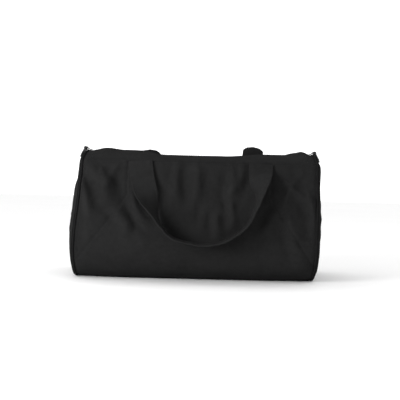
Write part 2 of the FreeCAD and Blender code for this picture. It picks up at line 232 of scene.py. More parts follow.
def flare(x, z):
    """The ends lean out towards the floor, the left one more than the right one."""
    left = 12 * MM * smooth(-z, -205 * MM, -50 * MM) - 2 * MM * smooth(-z, -40 * MM, 0)
    right = 1 * MM * smooth(-z, -215 * MM, -70 * MM) - 3 * MM * smooth(-z, -60 * MM, 0)
    share = np.clip(np.abs(x) / HALF_LENGTH, 0, 1.2) ** 3
    return np.sign(x) * share * np.where(x < 0, left, right)


def wall_relief(x, s, face):
    """Folds and crumples of a wall, which run on over the top seam."""
    waves = 1.1 * MM * bumps(x / (21 * MM), s / (27 * MM), 2.0 + face)
    crumple = 0.7 * MM * bumps(x / (9 * MM), s / (11 * MM), 5.0 + face)
    slack = smooth(s, s_at(60 * MM), s_at(150 * MM))
    held = 1 - 0.6 * smooth(s, 0.82 * WALL_LENGTH, WALL_LENGTH)
    return held * (folds(x, s, face) + waves * (0.35 + slack) + crumple * slack)


def wall(x, s, face, lift=0.0):
    """Points of a wall's outer surface, lifted off it if asked."""
    x, s = np.broadcast_arrays(np.asarray(x, float), np.asarray(s, float))
    y, z, normal_y, normal_z = wall_section(s)
    middle = 1 - np.clip(np.abs(x) / HALF_LENGTH, 0, 1) ** 4
    upward = np.clip(s / WALL_LENGTH, 0, 1)
    free = smooth(upward, 0.0, 0.18)
    belly = 5 * MM * middle * np.sin(np.pi * upward) ** 2
    foot = 6 * MM * middle * np.exp(-(((s / CORNER_LENGTH - 0.55) / 0.45) ** 2))
    out = belly + foot + free * wall_relief(x, s, face)
    out += seam_dip(corner_seam_distance(x, s), 1.0 + face, s) * free
    out += seam_dip(HALF_LENGTH - np.abs(x), 4.0 + face, s)
    out += seam_dip(WALL_LENGTH - s, 7.0 + face, x) * TOP_SEAM_DEPTH
    out += seam_dip(s, 9.0 + face, x) * 0.6
    out += lift
    place_y = face * (y + normal_y * out)
    place_z = np.maximum(z + normal_z * out, 0)
    return np.stack([x + flare(x, z), place_y, place_z], axis=-1)


def crown_share(x, y):
    """The top sags between the ends, and swells beside the zip at the left handle."""
    sag = 1 - smooth(np.abs(x + 4 * MM), 50 * MM, 130 * MM)
    swell = smooth(-x, 70 * MM, 105 * MM) * (1 - smooth(-x, 160 * MM, 192 * MM))
    beside_zip = smooth(np.abs(y), 9 * MM, 27 * MM)
    return 1 - 0.3 * sag + 0.3 * swell * beside_zip


def corner_lift(x, y):
    """The cloth stands up a little just short of the ends, on both sides of the zip."""
    left = 4.5 * MM * smooth(-x, 145 * MM, 185 * MM) * (1 - 0.7 * smooth(-x, 180 * MM, 208 * MM))
    right = 9 * MM * smooth(x, 150 * MM, 200 * MM) * (1 - 0.6 * smooth(x, 186 * MM, 209 * MM))
    beside_zip = smooth(np.abs(y), 13 * MM, 28 * MM)
    short_of_seam = 1 - smooth(np.abs(y), 45 * MM, 106 * MM)
    return (left + right) * beside_zip * short_of_seam


def crown(x, y, lift=0.0):
    """Points of the top's outer surface over a place in plan."""
    x, y = np.broadcast_arrays(np.asarray(x, float), np.asarray(y, float))
    top = np.full_like(x, WALL_LENGTH)
    relief = np.where(y < 0, wall_relief(x, top, -1), wall_relief(x, top, 1))
    relief = relief * smooth(np.abs(y), 60 * MM, SEAM_HALF)
    normal_y, normal_z = (float(part) for part in wall_section(np.array(WALL_LENGTH))[2:])
    arc = CROWN_TOP - CROWN_RADIUS + np.sqrt(CROWN_RADIUS**2 - y**2)
    inner = 1 - np.clip(np.abs(y) / SEAM_HALF, 0, 1) ** 3
    loose = inner * smooth(np.abs(y), FLAP_EDGE, 30 * MM)
    waves = 2.3 * MM * bumps(x / (19 * MM), y / (26 * MM), 11.0)
    waves = waves + 0.8 * MM * bumps(x / (8 * MM), y / (11 * MM), 6.0)
    z = SEAM_Z + (arc - SEAM_Z) * crown_share(x, y) + loose * waves + corner_lift(x, y)
    z = z + seam_dip(SEAM_HALF - np.abs(y), 3.0, x) * TOP_SEAM_DEPTH
    z = z + seam_dip(HALF_LENGTH - np.abs(x), 2.0, y) + normal_z * relief
    return np.stack([x + flare(x, z), y + np.sign(y) * normal_y * relief, z + lift], axis=-1)


# ---------------- mesh helpers


SHARP_EDGE = math.radians(55)


def place_object(name, data):
    """A new object in the scene, holding a mesh, a light or a camera."""
    placed = bpy.data.objects.new(name, data)
    bpy.context.scene.collection.objects.link(placed)
    return placed


def new_piece(name, points, faces, slot, body="bag", replaces=(), material=None):
    """An object from points and faces, riding on a body."""
    mesh = bpy.data.meshes.new(name)
    mesh.from_pydata([tuple(point) for point in points], [], faces)
    mesh.update()
    return finish_piece(place_object(name, mesh), slot, body, replaces, material)


def finish_piece(piece, slot, body="bag", replaces=(), material=None):
    """Gives a piece its material and smooth shading, ties it to a body and hides the CAD nodes it
    stands for; the slot names the material unless another is given.
    """
    piece.data.materials.clear()
    piece.data.materials.append(MATERIALS[material or slot])
    for polygon in piece.data.polygons:
        polygon.use_smooth = True
    piece.data.set_sharp_from_angle(angle=SHARP_EDGE)
    if body:
        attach(piece, body)
    if replaces:
        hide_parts(*replaces)
    return piece


def apply_modifiers(piece):
    """Makes the modified mesh the piece's own."""
    depsgraph = bpy.context.evaluated_depsgraph_get()
    mesh = bpy.data.meshes.new_from_object(piece.evaluated_get(depsgraph))
    old = piece.data
    piece.modifiers.clear()
    piece.data = mesh
    bpy.data.meshes.remove(old)


def raw_object(name, bm):
    """An object from a bmesh, which is used up."""
    mesh = bpy.data.meshes.new(name)
    bm.to_mesh(mesh)
    bm.free()
    return place_object(name, mesh)


def cut_size(bm):
    """Width, length and area of a flat cut."""
    flat = np.array([vert.co for vert in bm.verts])
    width, length = (float(size) for size in np.ptp(flat[:, :2], axis=0))
    area = min(sum(face.calc_area() for face in bm.faces), width * length)
    return width, length, area


def sewn_sheet(name, bm, surface, stands_for, place_piece=None, flip=False, thickness=CLOTH):
    """Bends a flat cut onto a surface and thickens it into cloth; place_piece, if given, places it
    instead of tying it to the bag.
    """
    cut = cut_size(bm)
    map_grid(bm, surface, flip)
    piece = raw_object(name, bm)
    thicken(piece, thickness)
    finish_piece(piece, "body_fabric", None if place_piece else "bag", (stands_for,))
    if place_piece:
        place_piece(piece)


def thicken(piece, thickness=CLOTH, offset=-1):
    """Closes a sheet into a cloth with an inner face and a rim."""
    solid = piece.modifiers.new("cloth", "SOLIDIFY")
    solid.thickness = thickness
    solid.offset = offset
    solid.use_even_offset = False
    apply_modifiers(piece)


def flat_grid(u_range, v_range, cell):
    """A grid in parameter space, as a bmesh in the XY plane."""
    bm = bmesh.new()
    columns = max(2, round((u_range[1] - u_range[0]) / cell)) + 1
    rows = max(2, round((v_range[1] - v_range[0]) / cell)) + 1
    us = np.linspace(*u_range, columns)
    vs = np.linspace(*v_range, rows)
    grid = [[bm.verts.new((u, v, 0)) for v in vs] for u in us]
    for i in range(columns - 1):
        for j in range(rows - 1):
            bm.faces.new((grid[i][j], grid[i + 1][j], grid[i + 1][j + 1], grid[i][j + 1]))
    return bm


def slice_grid(bm, point, normal):
    geometry = bm.verts[:] + bm.edges[:] + bm.faces[:]
    bmesh.ops.bisect_plane(bm, geom=geometry, dist=1e-7, plane_co=point, plane_no=normal)


def keep_faces(bm, wanted):
    """Deletes the faces whose middle isn't wanted."""
    doomed = [face for face in bm.faces if not wanted(face.calc_center_median())]
    bmesh.ops.delete(bm, geom=doomed, context="FACES")


def map_grid(bm, surface, flip):
    """Moves a flat grid onto a surface."""
    flat = np.array([vert.co for vert in bm.verts])
    for vert, place in zip(bm.verts, surface(flat[:, 0], flat[:, 1])):
        vert.co = place
    if flip:
        bmesh.ops.reverse_faces(bm, faces=bm.faces[:])


def grid_faces(rows, columns, closed_rows=False, closed_columns=False):
    """Quads between the points of a grid; each way it may close on itself."""
    faces = []
    for row in range(rows if closed_rows else rows - 1):
        low, high = row * columns, (row + 1) % rows * columns
        for k in range(columns if closed_columns else columns - 1):
            nxt = (k + 1) % columns
            faces.append((low + k, low + nxt, high + nxt, high + k))
    return faces


def tube(path, radius, sides=10, closed=False):
    """Points and faces of a round tube along a path."""
    path = [Vector(point) for point in path]
    count = len(path)
    points = []
    across = None
    for index, place in enumerate(path):
        ahead = path[(index + 1) % count] if closed or index < count - 1 else place
        behind = path[index - 1] if closed or index > 0 else place
        along = (ahead - behind).normalized()
        if across is None:
            across = along.orthogonal().normalized()
        across = (across - along * across.dot(along)).normalized()
        other = along.cross(across)
        for side in range(sides):
            turn = math.tau * side / sides
            points.append(place + (across * math.cos(turn) + other * math.sin(turn)) * radius)
    faces = grid_faces(count, sides, closed, closed_columns=True)
    if not closed:
        faces.append(tuple(range(sides))[::-1])
        faces.append(tuple((count - 1) * sides + side for side in range(sides)))
    return points, faces


STITCH_LENGTH = 3.2 * MM
STITCH_GAP = 1.1 * MM
STITCH_RADIUS = 0.38 * MM


def stitches(path, normals):
    """Points and faces of a row of thread stitches along a path that lies on cloth."""
    path = np.asarray(path, float)
    normals = np.asarray(normals, float)
    steps = np.linalg.norm(np.diff(path, axis=0), axis=1)
    reach = np.concatenate([[0], np.cumsum(steps)])
    points, faces = [], []
    pitch = STITCH_LENGTH + STITCH_GAP
    for index in range(int(reach[-1] / pitch)):
        begin = index * pitch + STITCH_GAP / 2

        def at(distance, array):
            return Vector([np.interp(distance, reach, array[:, axis]) for axis in range(3)])

        a, b = at(begin, path), at(begin + STITCH_LENGTH, path)
        up = at(begin + STITCH_LENGTH / 2, normals).normalized()
        along = (b - a).normalized()
        side = along.cross(up).normalized()
        first = len(points)
        points += [a - up * STITCH_RADIUS, b - up * STITCH_RADIUS]
        for centre in (a.lerp(b, 0.22), a.lerp(b, 0.78)):
            points += [centre + way * STITCH_RADIUS for way in (side, up, -side, -up)]
        for k in range(4):
            nxt = (k + 1) % 4
            faces.append((first, first + 2 + nxt, first + 2 + k))
            faces.append((first + 2 + k, first + 2 + nxt, first + 6 + nxt, first + 6 + k))
            faces.append((first + 1, first + 6 + k, first + 6 + nxt))
    return points, faces


def join_parts(parts):
    """Several (points, faces) lists as one."""
    points, faces = [], []
    for more_points, more_faces in parts:
        base = len(points)
        points += list(more_points)
        faces += [tuple(base + index for index in face) for face in more_faces]
    return points, faces


# ---------------- materials


def grey(level, blue):
    """A grey that is as dark as level, with its own blue."""
    return (level, level, blue)


class Nodes:
    """A short way to wire a node material."""

    def __init__(self, name, color, roughness):
        self.material = bpy.data.materials.new(name)
        self.material.use_nodes = True
        self.tree = self.material.node_tree
        self.shader = self.tree.nodes["Principled BSDF"]
        self.feed("Base Color", (*color, 1))
        self.feed("Roughness", roughness)
        coordinates = self.tree.nodes.new("ShaderNodeTexCoord")
        split = self.tree.nodes.new("ShaderNodeSeparateXYZ")
        self.place = coordinates.outputs["Object"]
        self.link(self.place, split.inputs[0])
        self.axis = dict(zip("xyz", split.outputs))

    def link(self, source, target):
        self.tree.links.new(source, target)

    def feed(self, socket, value):
        """Gives one of the shader's sockets a fixed value or another node's output."""
        if isinstance(value, bpy.types.NodeSocket):
            self.link(value, self.shader.inputs[socket])
        else:
            self.shader.inputs[socket].default_value = value

    def math(self, operation, *values):
        step = self.tree.nodes.new("ShaderNodeMath")
        step.operation = operation
        for index, value in enumerate(values):
            if isinstance(value, (int, float)):
                step.inputs[index].default_value = value
            else:
                self.link(value, step.inputs[index])
        return step.outputs[0]

    def wave(self, along, length):
        return self.math("SINE", self.math("MULTIPLY", along, math.tau / length))

    def noise(self, size, detail=3.0, distortion=0.0):
        texture = self.tree.nodes.new("ShaderNodeTexNoise")
        texture.inputs["Scale"].default_value = 1 / size
        texture.inputs["Detail"].default_value = detail
        texture.inputs["Distortion"].default_value = distortion
        self.link(self.place, texture.inputs["Vector"])
        return texture.outputs["Fac"]

    def ramp(self, value, *stops):
        """Maps a value through (place, grey or colour) stops."""
        ramp = self.tree.nodes.new("ShaderNodeValToRGB")
        self.link(value, ramp.inputs[0])
        while len(ramp.color_ramp.elements) < len(stops):
            ramp.color_ramp.elements.new(0.5)
        for element, (place, color) in zip(ramp.color_ramp.elements, stops):
            element.position = place
            element.color = (*color, 1) if isinstance(color, tuple) else (color, color, color, 1)
        return ramp.outputs[0]

    def bump(self, height, distance, strength=1.0, under=None):
        bump = self.tree.nodes.new("ShaderNodeBump")
        bump.inputs["Strength"].default_value = strength
        bump.inputs["Distance"].default_value = distance
        self.link(height, bump.inputs["Height"])
        if under is not None:
            self.link(under, bump.inputs["Normal"])
        return bump.outputs[0]


def cloth_material(name, dark, light, thread, roughness=0.78, sheen=0.008, twill=0.0, across_end=False):
    """Woven cloth: crossing threads, slubs, a slightly rubbed and dusty surface."""
    nodes = Nodes(name, dark, roughness)
    nodes.feed("Sheen Weight", sheen)
    nodes.feed("Sheen Roughness", 0.45)
    nodes.feed("Specular IOR Level", 0.0)
    axis = nodes.axis
    lengthways = axis["y"] if across_end else axis["x"]
    upward = axis["z"] if across_end else nodes.math("ADD", axis["y"], axis["z"])
    wave = math.pi / thread
    warp = nodes.math("MULTIPLY", lengthways, wave)
    weft = nodes.math("MULTIPLY", upward, wave)
    if twill:
        weft = nodes.math("ADD", weft, nodes.math("MULTIPLY", warp, twill))
    threads = nodes.math("MULTIPLY", nodes.math("SINE", warp), nodes.math("SINE", weft))
    slub = nodes.noise(7 * thread, 2.0)
    large = nodes.noise(60 * MM, 4.0, 0.6)
    small = nodes.noise(7 * MM, 3.0)
    mix = nodes.math("ADD", nodes.math("MULTIPLY", large, 0.6), nodes.math("MULTIPLY", small, 0.4))
    mix = nodes.math("ADD", mix, nodes.math("MULTIPLY", threads, 0.05))
    nodes.feed("Base Color", nodes.ramp(mix, (0.3, dark), (0.7, light)))
    nodes.feed("Roughness", nodes.ramp(small, (0.3, roughness - 0.08), (0.7, roughness + 0.1)))
    creases = nodes.bump(nodes.noise(16 * MM, 5.0, 0.8), 1.2 * MM, 0.35)
    fuzz = nodes.bump(slub, 0.15 * MM, 0.5, creases)
    nodes.feed("Normal", nodes.bump(threads, 0.12 * MM, 0.7, fuzz))
    return nodes.material


def webbing_material(name, color):
    """Ribbed webbing: bold chevron ribs across its width."""
    nodes = Nodes(name, color, 0.55)
    nodes.feed("Specular IOR Level", 0.085)
    ribs = nodes.wave(nodes.axis["y"], 1.7 * MM)
    picks = nodes.wave(nodes.axis["x"], 1.1 * MM)
    height = nodes.math("ADD", ribs, nodes.math("MULTIPLY", picks, 0.5))
    mix = nodes.math("ADD", nodes.math("MULTIPLY", height, 0.15), nodes.noise(4 * MM))
    lighter = tuple(channel * 1.8 for channel in color)
    nodes.feed("Base Color", nodes.ramp(mix, (0.3, color), (0.8, lighter)))
    nodes.feed("Normal", nodes.bump(height, 0.25 * MM, 0.8))
    return nodes.material


def thread_material():
    """Twisted sewing thread, a little brighter than the cloth."""
    nodes = Nodes("thread", grey(0.013, 0.0132), 0.6)
    nodes.feed("Specular IOR Level", 0.03)
    total = nodes.math("ADD", nodes.axis["x"], nodes.math("ADD", nodes.axis["y"], nodes.axis["z"]))
    color = nodes.ramp(nodes.noise(3 * MM), (0.3, grey(0.011, 0.0112)), (0.7, grey(0.018, 0.0183)))
    nodes.feed("Base Color", color)
    nodes.feed("Normal", nodes.bump(nodes.wave(total, 0.7 * MM), 0.1 * MM, 0.6))
    return nodes.material


def enamel_material(name, roughness):
    """Black enamel on metal, with faint wear and fine orange peel."""
    nodes = Nodes(name, grey(0.015, 0.016), roughness)
    nodes.feed("Specular IOR Level", 0.3)
    nodes.feed("Coat Weight", 0.12)
    nodes.feed("Coat Roughness", 0.25)
    worn = nodes.ramp(nodes.noise(5 * MM, 6.0), (0.45, grey(0.009, 0.0095)), (0.8, grey(0.03, 0.031)))
    rough = nodes.ramp(nodes.noise(2 * MM, 4.0), (0.3, roughness - 0.08), (0.7, roughness + 0.15))
    nodes.feed("Base Color", worn)
    nodes.feed("Roughness", rough)
    nodes.feed("Normal", nodes.bump(nodes.noise(0.8 * MM, 2.0), 0.05 * MM, 0.4))
    return nodes.material


def nylon_material():
    """Extruded nylon of the zip's coils."""
    nodes = Nodes("zip_coil", grey(0.014, 0.015), 0.35)
    color = nodes.ramp(nodes.noise(2.5 * MM), (0.3, grey(0.012, 0.013)), (0.7, grey(0.022, 0.023)))
    nodes.feed("Base Color", color)
    nodes.feed("Normal", nodes.bump(nodes.noise(0.5 * MM), 0.04 * MM, 0.5))
    return nodes.material


def floor_material():
    """Matt white paper, hardly uneven."""
    nodes = Nodes("floor", grey(0.99, 0.99), 0.9)
    nodes.feed("Base Color", nodes.ramp(nodes.noise(0.5), (0.3, 0.98), (0.7, 1.0)))
    return nodes.material


FABRIC = (grey(0.0133, 0.0134), grey(0.0183, 0.0184))
# The piping's cloth is darker than the body cloth: painted shade for the dark lines along the end
# seams.
PIPING_PAINTED_SHADE = (grey(0.009, 0.0092), grey(0.013, 0.0132))
BINDING_TAPE = (grey(0.01, 0.0105), grey(0.017, 0.0175))
ZIP_TAPE = (grey(0.01, 0.0105), grey(0.016, 0.0165))

MATERIALS = {
    "body_fabric": cloth_material("body_fabric", *FABRIC, 0.5 * MM),
    "end_fabric": cloth_material("end_fabric", *FABRIC, 0.5 * MM, across_end=True),
    "strap_fabric": cloth_material("strap_fabric", *FABRIC, 0.55 * MM, roughness=0.66),
    "piping_fabric": cloth_material("piping_fabric", *PIPING_PAINTED_SHADE, 0.5 * MM),
    "binding_tape": cloth_material("binding_tape", *BINDING_TAPE, 0.8 * MM, twill=0.6),
    "zip_tape": cloth_material("zip_tape", *ZIP_TAPE, 0.6 * MM, twill=1.0),
    "webbing": webbing_material("webbing", grey(0.012, 0.0125)),
    "thread": thread_material(),
    "zip_coil": nylon_material(),
    "zip_metal": enamel_material("zip_metal", 0.35),
    "ring_metal": enamel_material("ring_metal", 0.3),
    "floor": floor_material(),
}


# ---------------- walls, bottom and their seams

# The word for a face, then the word for a side, of each sign.
WORDS = {-1: ("front", "left"), 1: ("back", "right")}
WALL_CELL = 2.6 * MM


def make_walls(face):
    """The centre panel and both corner panels of one side, cut from one draped wall."""
    word = WORDS[face][0]
    whole = flat_grid((-HALF_LENGTH, HALF_LENGTH), (0, WALL_LENGTH), WALL_CELL)
    for side in (-1, 1):
        turn = (side * CORNER_SEAM_X, SEAM_BEND, 0)
        slice_grid(whole, turn, (1, 0, 0))
        slice_grid(whole, turn, (-SEAM_SLANT[1], side * SEAM_SLANT[0], 0))

    def on_corner(place, side):
        outside = corner_seam_distance(np.array(place.x), np.array(place.y)) > 0
        return outside and place.x * side > 0

    wanted = {
        f"{word}_panel": lambda place: not on_corner(place, 1) and not on_corner(place, -1),
        f"{word}_corner_left": lambda place: on_corner(place, -1),
        f"{word}_corner_right": lambda place: on_corner(place, 1),
    }
    for name, keep in wanted.items():
        part = whole.copy()
        keep_faces(part, keep)
        sewn_sheet(name + "_cloth", part, lambda x, s: wall(x, s, face), name, flip=face > 0)
    whole.free()


def wall_stitches(face):
    """Top-stitching beside the corner seams, the top seam and the end seams."""
    word = WORDS[face][0]
    inset = 4 * MM
    edge = HALF_LENGTH - inset
    top = WALL_LENGTH - inset
    bend = (CORNER_SEAM_X - inset, SEAM_BEND - 0.4 * inset)
    foot = (HALF_LENGTH - 2 * MM + SEAM_SLANT[1] * inset, SEAM_FOOT - SEAM_SLANT[0] * inset)
    rows = []
    for side in (-1, 1):
        rows.append([(side * bend[0], top), (side * bend[0], bend[1])])
        rows.append([(side * bend[0], bend[1]), (side * foot[0], foot[1])])
        rows.append([(side * edge, 8 * MM), (side * edge, top)])
    rows.append([(-edge, top), (edge, top)])
    parts = []
    for (x0, s0), (x1, s1) in rows:
        share = np.linspace(0, 1, max(12, int(math.hypot(x1 - x0, s1 - s0) / (4 * MM))))
        x, s = x0 + (x1 - x0) * share, s0 + (s1 - s0) * share
        low, high = wall(x, s, face), wall(x, s, face, 1 * MM)
        parts.append(stitches(wall(x, s, face, 0.12 * MM), high - low))
    points, faces = join_parts(parts)
    new_piece(f"{word}_wall_stitching", points, faces, "body_fabric", material="thread")


def make_bottom():
    """Flat where it stands, with a trace of slack."""
    bm = flat_grid((-HALF_LENGTH, HALF_LENGTH), (-BOTTOM_HALF, BOTTOM_HALF), 5 * MM)

    def surface(x, y):
        slack = 0.8 * MM * (1 + bumps(x / (35 * MM), y / (30 * MM), 8.0)) / 2
        edge = np.minimum(BOTTOM_HALF - np.abs(y), HALF_LENGTH - np.abs(x))
        return np.stack([x + flare(x, 0 * x), y, slack * smooth(edge, 0, 20 * MM)], axis=-1)

    sewn_sheet("bottom_panel_cloth", bm, surface, "bottom_panel", flip=True, thickness=2 * CLOTH)


# ---------------- ends


def end_outline(side, reach=HALF_LENGTH, skip_top=0.0):
    """The skin's outline at an end, from the top middle down the back and up the front."""
    top = np.linspace(max(skip_top, 0.5 * MM), SEAM_HALF, 36)
    up = np.linspace(WALL_LENGTH, 0, 72)[1:]
    under = np.linspace(BOTTOM_HALF, -BOTTOM_HALF, 36)[1:-1]
    x = side * reach
    floor_x = np.full_like(under, x + float(flare(np.array(x), np.array(0.0))))
    floor = np.stack([floor_x, under, 0 * under], axis=-1)
    back = [crown(x, top), wall(x, up, 1)]
    front = [wall(x, up[::-1], -1), crown(x, -top[::-1])]
    return np.concatenate([*back, floor, *front])


END_CENTRE_Z = 112 * MM
RIM_CENTRE_Z = 115 * MM
END_BULGE = {-1: 12.5 * MM, 1: 11 * MM}


def end_rings(side, rim):
    """Rings of the bulging end, from its rim to near its middle."""
    centre = np.array((rim[:, 0].mean(), 0.0, END_CENTRE_Z))
    angles = np.arctan2(rim[:, 2] - centre[2], rim[:, 1])
    # Away from its seam the cap forgets the small bends of the outline.
    spread = range(-14, 15)
    calm = sum(np.roll(rim, shift, axis=0) for shift in spread) / len(spread)
    rings = []
    for rho in np.concatenate([np.linspace(1, 0.9, 9), np.linspace(0.9, 0.03, 26)[1:]]):
        line = calm + (rim - calm) * float(smooth(rho, 0.72, 0.99))
        ring = centre + (line - centre) * rho
        seam_x = side * HALF_LENGTH + flare(np.full(len(rim), side * HALF_LENGTH), ring[:, 2])
        across = ring[:, 1] / BOTTOM_HALF
        up = (ring[:, 2] - centre[2]) / centre[2]
        fullness = 1 - 0.14 * across**2 - 0.4 * up**2
        dome = PIPING * 1.9 + END_BULGE[side] * (1 - rho**7) ** 0.5 * fullness
        gathers = ripple(angles * 9, 2.0 + side) * smooth(rho, 0.45, 0.9) * (1 - smooth(rho, 0.96, 1))
        hollows = bumps(ring[:, 1] / (24 * MM), ring[:, 2] / (33 * MM), 4.0 + side) * (1 - rho**6)
        ring[:, 0] = seam_x + side * (dome + 1.4 * MM * gathers + 2.4 * MM * hollows)
        rings.append(ring)
    return rings


def make_end(side):
    """A cap of cloth that bulges past its seam, with slack near the rim."""
    word = WORDS[side][1]
    rim = end_outline(side)
    count = len(rim)
    rings = end_rings(side, rim)
    points = [place for ring in rings for place in ring]
    points.append(rings[-1].mean(axis=0))
    faces = grid_faces(len(rings), count, closed_columns=True)
    last = (len(rings) - 1) * count
    faces += [(last + k, last + (k + 1) % count, len(points) - 1) for k in range(count)]
    if side < 0:
        faces = [face[::-1] for face in faces]
    name = f"end_panel_{word}"
    piece = new_piece(name + "_cloth", points, faces, "body_fabric", body=None)
    thicken(piece)
    finish_piece(piece, "body_fabric", "bag", (name,), "end_fabric")

    row = rings[3] + np.array((side * 0.25 * MM, 0, 0))
    closed_row = np.concatenate([row, row[:1]])
    stitched, stitch_faces = stitches(closed_row, [(side, 0, 0)] * len(closed_row))
    new_piece(f"end_stitching_{word}", stitched, stitch_faces, "body_fabric", material="thread")


def make_piping(side):
    """Cord covered in the bag's own cloth, gathered into the end seam; its cloth is darker, as painted
    shade along the seam.
    """
    word = WORDS[side][1]
    rim = end_outline(side)
    outward = rim - np.array((rim[0][0], 0.0, RIM_CENTRE_Z))
    outward[:, 0] = 0
    outward /= np.linalg.norm(outward, axis=1)[:, None]
    path = rim + outward * 0.2 * MM + np.array((side * PIPING * 0.95, 0, 0))
    path[:, 2] = np.maximum(path[:, 2], PIPING)
    points, faces = tube(path, PIPING, PIPING_SIDES, closed=True)
    gathered = []
    for index, point in enumerate(points):
        ring = index // PIPING_SIDES
        middle = Vector(path[ring])
        gather = 1 + 0.05 * math.sin(ring * 2.3) + 0.04 * math.sin(ring * 0.9 + side)
        gathered.append(middle + (point - middle) * gather)
    name = f"end_piping_{word}"
    new_piece(name + "_cord", gathered, faces, "piping_fabric", replaces=(name,))


def make_binding(side):
    """Tape folded over the raw edges inside the end seam, open at the top beside the zip."""
    word = WORDS[side][1]
    outer = end_outline(side, HALF_LENGTH - 0.5 * MM, skip_top=9 * MM)
    inner = end_outline(side, HALF_LENGTH - 10 * MM, skip_top=9 * MM)
    rows = 5
    centre = np.array((0, 0, RIM_CENTRE_Z))
    points = []
    for t in np.linspace(0, 1, rows):
        ring = outer + (inner - outer) * t
        radial = ring - centre
        radial[:, 0] = 0
        radial /= np.linalg.norm(radial, axis=1)[:, None]
        arch = 0.8 * MM * math.sin(math.pi * t)
        points += list(ring - radial * (CLOTH + 1.4 * MM + arch))
    faces = grid_faces(rows, len(outer))
    piece = new_piece(f"end_binding_{word}_tape", points, faces, "binding_tape", body=None)
    thicken(piece, 0.9 * MM)
    finish_piece(piece, "binding_tape", "bag", (f"end_binding_{word}",))


# ---------------- top: end strips, flaps and zip


def make_zip_end(side):
    """The strip that closes the top beyond the mouth, with a notch that parks the slider."""
    word = WORDS[side][1]
    inner, outer = (MOUTH_HALF, HALF_LENGTH) if side > 0 else (-HALF_LENGTH, -MOUTH_HALF)
    bm = flat_grid((inner, outer), (-SEAM_HALF, SEAM_HALF), 2.2 * MM)
    if side > 0:
        notch_end = HALF_LENGTH - 4 * MM
        for edge in (-FLAP_EDGE, FLAP_EDGE):
            slice_grid(bm, (0, edge, 0), (0, 1, 0))
        slice_grid(bm, (notch_end, 0, 0), (1, 0, 0))
        keep_faces(bm, lambda place: abs(place.y) > FLAP_EDGE or place.x > notch_end)
    sewn_sheet(f"zip_end_{word}_cloth", bm, crown, f"zip_end_{word}")
    rows = []
    for inset in (1.6 * MM, 4.4 * MM):
        y = np.linspace(-SEAM_HALF + 6 * MM, SEAM_HALF - 6 * MM, 60)
        y = y[np.abs(y) > FLAP_EDGE + 2 * MM] if side > 0 else y
        x = np.full_like(y, side * (MOUTH_HALF + inset))
        for half in (-1, 1):
            chosen = y * half > 0
            place = crown(x[chosen], y[chosen], 0.1 * MM)
            rows.append(stitches(place, [(0, 0, 1)] * chosen.sum()))
    points, faces = join_parts(rows)
    new_piece(f"zip_end_stitching_{word}", points, faces, "body_fabric", material="thread")


def bend_with_flap(piece):
    """Bakes the piece's placement into its mesh."""
    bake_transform(piece)


def make_flap(face, side):
    """Half of a top panel from its end to the middle, hemmed beside the zip."""
    word, hand = WORDS[face][0], WORDS[side][1]
    x_range = (0, MOUTH_HALF) if side > 0 else (-MOUTH_HALF, 0)
    y_range = (FLAP_EDGE, SEAM_HALF) if face > 0 else (-SEAM_HALF, -FLAP_EDGE)
    bm = flat_grid(x_range, y_range, 2.6 * MM)

    def surface(x, y):
        hem = smooth(-np.abs(y), -FLAP_EDGE - 11 * MM, -FLAP_EDGE - 8 * MM)
        return crown(x, y, 0.7 * MM * hem)

    def with_flap(piece):
        bend_with_flap(piece)

    sewn_sheet(f"mouth_flap_{word}_{hand}", bm, surface, f"mouth_flap_{word}", with_flap)

    hem_edge = (FLAP_EDGE + 1.8 * MM, 0.8 * MM)
    hem_fold = (FLAP_EDGE + 8 * MM, 0.75 * MM)
    top_seam = (SEAM_HALF - 4.5 * MM, 0.1 * MM)
    x = np.linspace(side * 1 * MM, side * (MOUTH_HALF - 3 * MM), 90)
    rows = []
    for reach, height in (hem_edge, hem_fold, top_seam):
        y = np.full_like(x, face * reach)
        rows.append(stitches(crown(x, y, height), [(0, 0, 1)] * len(x)))
    points, faces = join_parts(rows)
    name = f"flap_stitching_{word}_{hand}"
    with_flap(new_piece(name, points, faces, "body_fabric", body=None, material="thread"))


def make_zip_tape(face, side):
    """The tape under the flap's edge, which carries the coil."""
    word, hand = WORDS[face][0], WORDS[side][1]
    x_range = (0, MOUTH_HALF - 1 * MM) if side > 0 else (-MOUTH_HALF + 1 * MM, 0)
    y_range = (2.2 * MM, 18 * MM) if face > 0 else (-18 * MM, -2.2 * MM)
    bm = flat_grid(x_range, y_range, 2.2 * MM)

    def surface(x, y):
        middle = crown(x, 0 * y)
        return np.stack([middle[:, 0], y, middle[:, 2] - 2.4 * MM], axis=-1)

    map_grid(bm, surface, flip=False)
    piece = raw_object(f"zip_tape_{word}_{hand}", bm)
    thicken(piece, 0.7 * MM)
    finish_piece(piece, "zip_tape", None, (f"zip_tape_{word}",))
    bend_with_flap(piece)


COIL_PITCH = 1.5 * MM
COIL_STEPS = 8


def make_coil(face, side):
    """The nylon spiral: its loops reach the middle between the loops of the other side."""
    word, hand = WORDS[face][0], WORDS[side][1]
    turns = int((MOUTH_HALF - 1.5 * MM) / COIL_PITCH)
    step = np.arange(turns * COIL_STEPS + 1) / COIL_STEPS
    angle = step * math.tau
    shift = COIL_PITCH / 2 if face > 0 else 0.0
    x = side * (step * COIL_PITCH + shift) + 0.25 * MM * np.cos(2 * angle)
    # At the left end the two spirals part, where the slider stops.
    parted = 0.95 * MM * smooth(-x, 160 * MM, 170 * MM)
    y = face * (1.9 * MM + parted - 1.75 * MM * np.cos(angle))
    z = crown(x, 0 * x)[:, 2] - 1.5 * MM + 0.7 * MM * np.sin(angle)
    points, faces = tube(np.stack([x, y, z], axis=-1), 0.36 * MM, 6)
    piece = new_piece(f"zip_coil_{word}_{hand}", points, faces, "zip_coil", None, (f"zip_coil_{word}",))
    bend_with_flap(piece)


# ---------------- handles

STRAP_HALF = 21.5 * MM
STRAP_THICKNESS = 3.6 * MM


